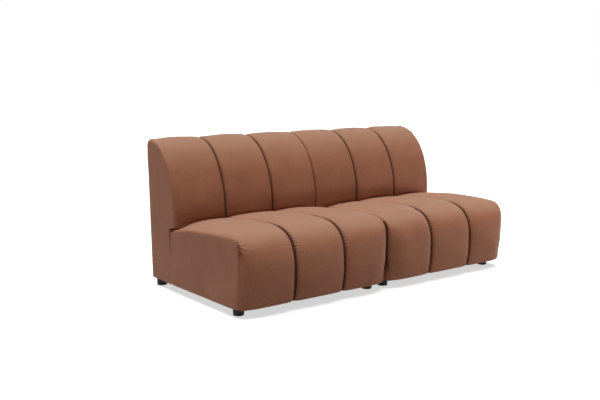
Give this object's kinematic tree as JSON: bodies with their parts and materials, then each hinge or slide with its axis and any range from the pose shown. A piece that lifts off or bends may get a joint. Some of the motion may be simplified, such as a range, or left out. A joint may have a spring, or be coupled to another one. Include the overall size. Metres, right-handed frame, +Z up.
{
  "type": "modular sofa",
  "caption": "Armless modular sofa: padded seat-and-back units that plug together side by side, covers sewn into upright channels, on short round screw-in feet.",
  "frame": {"origin": "on the floor, under the middle of the sofa's outer box", "axes": "+X along the sofa from the left unit to the right one as seen from the front, -Y towards the front of the seat, +Z up"},
  "size_m": [1.796, 0.9102, 0.774],
  "materials": {
    "cover": "soft matt, fine grain",
    "foam": "open-cell foam",
    "felt": "needled felt",
    "webbing": "woven elastic webbing",
    "dust_cloth": "non-woven cloth",
    "plywood": "sanded plywood",
    "hardboard": "pressed hardboard",
    "spring_steel": "oiled black",
    "zinc_steel": "zinc plated",
    "link_steel": "black painted",
    "foot_plastic": "satin black"
  },
  "bodies": {
    "left_module": {"left_seat_front_rail": "plywood", "left_seat_rear_rail": "plywood", "left_seat_side_rail_left": "plywood", "left_seat_side_rail_right": "plywood", "left_seat_centre_rail": "plywood", "left_corner_blocks": "plywood", "left_seat_springs": "spring_steel", "left_spring_clips": "spring_steel", "left_seat_felt": "felt", "left_seat_foam": "foam", "left_front_foam": "foam", "left_seat_cover": "cover", "left_dust_cover": "dust_cloth", "left_back_gable_left": "plywood", "left_back_gable_right": "plywood", "left_back_top_rail": "plywood", "left_back_middle_rail": "plywood", "left_back_lower_rail": "plywood", "left_back_webbing": "webbing", "left_back_foam": "foam", "left_rear_panel": "hardboard", "left_back_cover": "cover", "left_joining_bolts": "zinc_steel", "left_t_nuts": "zinc_steel", "left_frame_screws": "zinc_steel", "left_link_tongues": "link_steel"},
    "right_module": {"right_seat_front_rail": "plywood", "right_seat_rear_rail": "plywood", "right_seat_side_rail_left": "plywood", "right_seat_side_rail_right": "plywood", "right_seat_centre_rail": "plywood", "right_corner_blocks": "plywood", "right_seat_springs": "spring_steel", "right_spring_clips": "spring_steel", "right_seat_felt": "felt", "right_seat_foam": "foam", "right_front_foam": "foam", "right_seat_cover": "cover", "right_dust_cover": "dust_cloth", "right_back_gable_left": "plywood", "right_back_gable_right": "plywood", "right_back_top_rail": "plywood", "right_back_middle_rail": "plywood", "right_back_lower_rail": "plywood", "right_back_webbing": "webbing", "right_back_foam": "foam", "right_rear_panel": "hardboard", "right_back_cover": "cover", "right_joining_bolts": "zinc_steel", "right_t_nuts": "zinc_steel", "right_frame_screws": "zinc_steel", "right_link_sockets": "link_steel"},
    "left_foot_front_left": {"left_foot_front_left": "foot_plastic"},
    "left_foot_front_right": {"left_foot_front_right": "foot_plastic"},
    "left_foot_rear_left": {"left_foot_rear_left": "foot_plastic"},
    "left_foot_rear_right": {"left_foot_rear_right": "foot_plastic"},
    "right_foot_front_left": {"right_foot_front_left": "foot_plastic"},
    "right_foot_front_right": {"right_foot_front_right": "foot_plastic"},
    "right_foot_rear_left": {"right_foot_rear_left": "foot_plastic"},
    "right_foot_rear_right": {"right_foot_rear_right": "foot_plastic"}
  },
  "joints": [
    {"name": "module_slide", "type": "slide", "parent": "left_module", "child": "right_module", "axis": [1, 0, 0], "range_m": [0, 0.06]},
    {"name": "left_foot_front_left_turn", "type": "hinge", "parent": "left_module", "child": "left_foot_front_left", "pos_m": [-0.844, -0.3155, 0], "axis": [0, 0, 1], "continuous": true},
    {"name": "left_foot_front_right_turn", "type": "hinge", "parent": "left_module", "child": "left_foot_front_right", "pos_m": [-0.056, -0.3155, 0], "axis": [0, 0, 1], "continuous": true},
    {"name": "left_foot_rear_left_turn", "type": "hinge", "parent": "left_module", "child": "left_foot_rear_left", "pos_m": [-0.858, 0.3975, 0], "axis": [0, 0, 1], "continuous": true},
    {"name": "left_foot_rear_right_turn", "type": "hinge", "parent": "left_module", "child": "left_foot_rear_right", "pos_m": [-0.042, 0.3975, 0], "axis": [0, 0, 1], "continuous": true},
    {"name": "right_foot_front_left_turn", "type": "hinge", "parent": "right_module", "child": "right_foot_front_left", "pos_m": [0.056, -0.3155, 0], "axis": [0, 0, 1], "continuous": true},
    {"name": "right_foot_front_right_turn", "type": "hinge", "parent": "right_module", "child": "right_foot_front_right", "pos_m": [0.844, -0.3155, 0], "axis": [0, 0, 1], "continuous": true},
    {"name": "right_foot_rear_left_turn", "type": "hinge", "parent": "right_module", "child": "right_foot_rear_left", "pos_m": [0.042, 0.3975, 0], "axis": [0, 0, 1], "continuous": true},
    {"name": "right_foot_rear_right_turn", "type": "hinge", "parent": "right_module", "child": "right_foot_rear_right", "pos_m": [0.858, 0.3975, 0], "axis": [0, 0, 1], "continuous": true}
  ]
}
